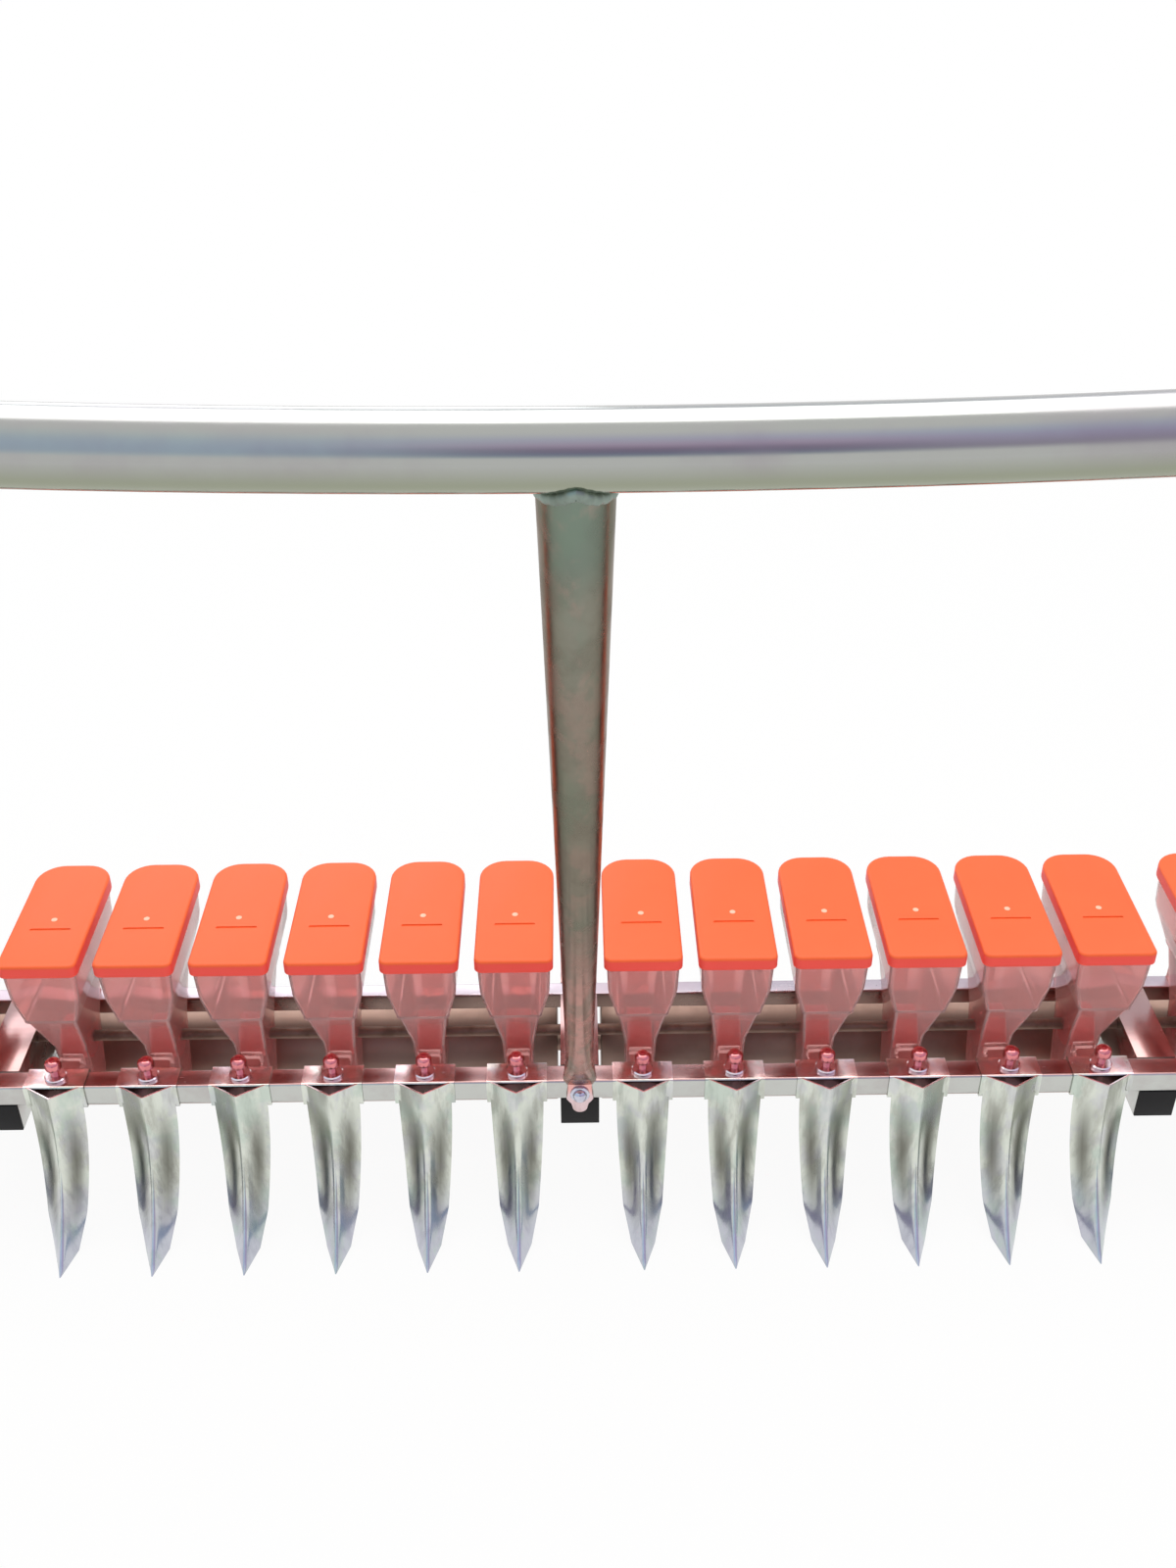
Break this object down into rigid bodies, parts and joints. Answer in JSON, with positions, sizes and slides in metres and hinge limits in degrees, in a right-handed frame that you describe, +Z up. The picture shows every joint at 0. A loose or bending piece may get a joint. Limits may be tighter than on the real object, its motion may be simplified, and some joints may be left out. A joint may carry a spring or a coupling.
{
  "type": "precision seeder",
  "caption": "Hand-pulled precision seeder: a row of lidded seed hoppers and folded openers on a steel frame, with a press drum that drives the seed shaft, and a T-handle.",
  "frame": {"origin": "middle of the machine's footprint at ground level, under the middle of its bounding box", "axes": "+Z up, +X along the bars towards the chain drive, -Y towards the person who pulls"},
  "size_m": [1.4582, 1.0016, 1.1695],
  "materials": {
    "brushed_steel": "bright drawn stainless tube",
    "polished_steel": "polished stainless tube",
    "folded_blade_steel": "folded stainless sheet",
    "drum_steel": "bright rolled stainless sheet",
    "black_plastic": "moulded end plugs",
    "clear_hopper_plastic": "clear moulded plastic",
    "orange_lid_plastic": "orange-red moulded plastic, satin",
    "red_roller_plastic": "red moulded rollers on their shaft",
    "chain_steel": "oiled chain and sprockets",
    "guard_steel": "bent stainless sheet"
  },
  "bodies": {
    "frame": {"front_bar": "brushed_steel", "rear_bar": "brushed_steel", "left_member": "brushed_steel", "left_member_plug": "black_plastic", "centre_member": "brushed_steel", "centre_member_plug": "black_plastic", "right_member": "brushed_steel", "right_member_plug": "black_plastic", "drive_chain": "chain_steel", "chain_guard": "guard_steel", "opener_01": "folded_blade_steel", "hopper_01": "clear_hopper_plastic", "opener_02": "folded_blade_steel", "hopper_02": "clear_hopper_plastic", "opener_03": "folded_blade_steel", "hopper_03": "clear_hopper_plastic", "opener_04": "folded_blade_steel", "hopper_04": "clear_hopper_plastic", "opener_05": "folded_blade_steel", "hopper_05": "clear_hopper_plastic", "opener_06": "folded_blade_steel", "hopper_06": "clear_hopper_plastic", "opener_07": "folded_blade_steel", "hopper_07": "clear_hopper_plastic", "opener_08": "folded_blade_steel", "hopper_08": "clear_hopper_plastic", "opener_09": "folded_blade_steel", "hopper_09": "clear_hopper_plastic", "opener_10": "folded_blade_steel", "hopper_10": "clear_hopper_plastic", "opener_11": "folded_blade_steel", "hopper_11": "clear_hopper_plastic", "opener_12": "folded_blade_steel", "hopper_12": "clear_hopper_plastic", "opener_13": "folded_blade_steel", "hopper_13": "clear_hopper_plastic", "opener_14": "folded_blade_steel", "hopper_14": "clear_hopper_plastic", "handle_bolt": "polished_steel"},
    "drum": {"press_drum": "drum_steel", "drum_sprocket": "chain_steel"},
    "seed_drive": {"seed_shaft": "red_roller_plastic", "shaft_sprocket": "chain_steel"},
    "handle": {"pull_handle": "polished_steel", "left_handle_cap": "black_plastic", "right_handle_cap": "black_plastic"},
    "lid_01": {"lid_01": "orange_lid_plastic"},
    "lid_02": {"lid_02": "orange_lid_plastic"},
    "lid_03": {"lid_03": "orange_lid_plastic"},
    "lid_04": {"lid_04": "orange_lid_plastic"},
    "lid_05": {"lid_05": "orange_lid_plastic"},
    "lid_06": {"lid_06": "orange_lid_plastic"},
    "lid_07": {"lid_07": "orange_lid_plastic"},
    "lid_08": {"lid_08": "orange_lid_plastic"},
    "lid_09": {"lid_09": "orange_lid_plastic"},
    "lid_10": {"lid_10": "orange_lid_plastic"},
    "lid_11": {"lid_11": "orange_lid_plastic"},
    "lid_12": {"lid_12": "orange_lid_plastic"},
    "lid_13": {"lid_13": "orange_lid_plastic"},
    "lid_14": {"lid_14": "orange_lid_plastic"}
  },
  "joints": [
    {"name": "drum_spin", "type": "hinge", "parent": "frame", "child": "drum", "pos_m": [0, 0.43575, 0.065], "axis": [1, 0, 0], "continuous": true, "deforming": ["drive_chain"]},
    {"name": "seed_shaft_spin", "type": "hinge", "parent": "frame", "child": "seed_drive", "pos_m": [0, 0.35185, 0.16], "axis": [1, 0, 0], "continuous": true},
    {"name": "handle_swivel", "type": "hinge", "parent": "frame", "child": "handle", "pos_m": [0, 0.25775, 0.1615], "axis": [0, 1, 0], "range_deg": [-60, 60]},
    {"name": "lid_01_hinge", "type": "hinge", "parent": "frame", "child": "lid_01", "pos_m": [-0.665, 0.45925, 0.2965], "axis": [-1, 0, 0], "range_deg": [0, 105]},
    {"name": "lid_02_hinge", "type": "hinge", "parent": "frame", "child": "lid_02", "pos_m": [-0.54, 0.45925, 0.2965], "axis": [-1, 0, 0], "range_deg": [0, 105]},
    {"name": "lid_03_hinge", "type": "hinge", "parent": "frame", "child": "lid_03", "pos_m": [-0.445, 0.45925, 0.2965], "axis": [-1, 0, 0], "range_deg": [0, 105]},
    {"name": "lid_04_hinge", "type": "hinge", "parent": "frame", "child": "lid_04", "pos_m": [-0.35, 0.45925, 0.2965], "axis": [-1, 0, 0], "range_deg": [0, 105]},
    {"name": "lid_05_hinge", "type": "hinge", "parent": "frame", "child": "lid_05", "pos_m": [-0.255, 0.45925, 0.2965], "axis": [-1, 0, 0], "range_deg": [0, 105]},
    {"name": "lid_06_hinge", "type": "hinge", "parent": "frame", "child": "lid_06", "pos_m": [-0.16, 0.45925, 0.2965], "axis": [-1, 0, 0], "range_deg": [0, 105]},
    {"name": "lid_07_hinge", "type": "hinge", "parent": "frame", "child": "lid_07", "pos_m": [-0.065, 0.45925, 0.2965], "axis": [-1, 0, 0], "range_deg": [0, 105]},
    {"name": "lid_08_hinge", "type": "hinge", "parent": "frame", "child": "lid_08", "pos_m": [0.065, 0.45925, 0.2965], "axis": [-1, 0, 0], "range_deg": [0, 105]},
    {"name": "lid_09_hinge", "type": "hinge", "parent": "frame", "child": "lid_09", "pos_m": [0.16, 0.45925, 0.2965], "axis": [-1, 0, 0], "range_deg": [0, 105]},
    {"name": "lid_10_hinge", "type": "hinge", "parent": "frame", "child": "lid_10", "pos_m": [0.255, 0.45925, 0.2965], "axis": [-1, 0, 0], "range_deg": [0, 105]},
    {"name": "lid_11_hinge", "type": "hinge", "parent": "frame", "child": "lid_11", "pos_m": [0.35, 0.45925, 0.2965], "axis": [-1, 0, 0], "range_deg": [0, 105]},
    {"name": "lid_12_hinge", "type": "hinge", "parent": "frame", "child": "lid_12", "pos_m": [0.445, 0.45925, 0.2965], "axis": [-1, 0, 0], "range_deg": [0, 105]},
    {"name": "lid_13_hinge", "type": "hinge", "parent": "frame", "child": "lid_13", "pos_m": [0.54, 0.45925, 0.2965], "axis": [-1, 0, 0], "range_deg": [0, 105]},
    {"name": "lid_14_hinge", "type": "hinge", "parent": "frame", "child": "lid_14", "pos_m": [0.665, 0.45925, 0.2965], "axis": [-1, 0, 0], "range_deg": [0, 105]}
  ],
  "couplings": [
    {"joint": "seed_shaft_spin", "follows": "drum_spin", "ratio": 1.3333}
  ]
}
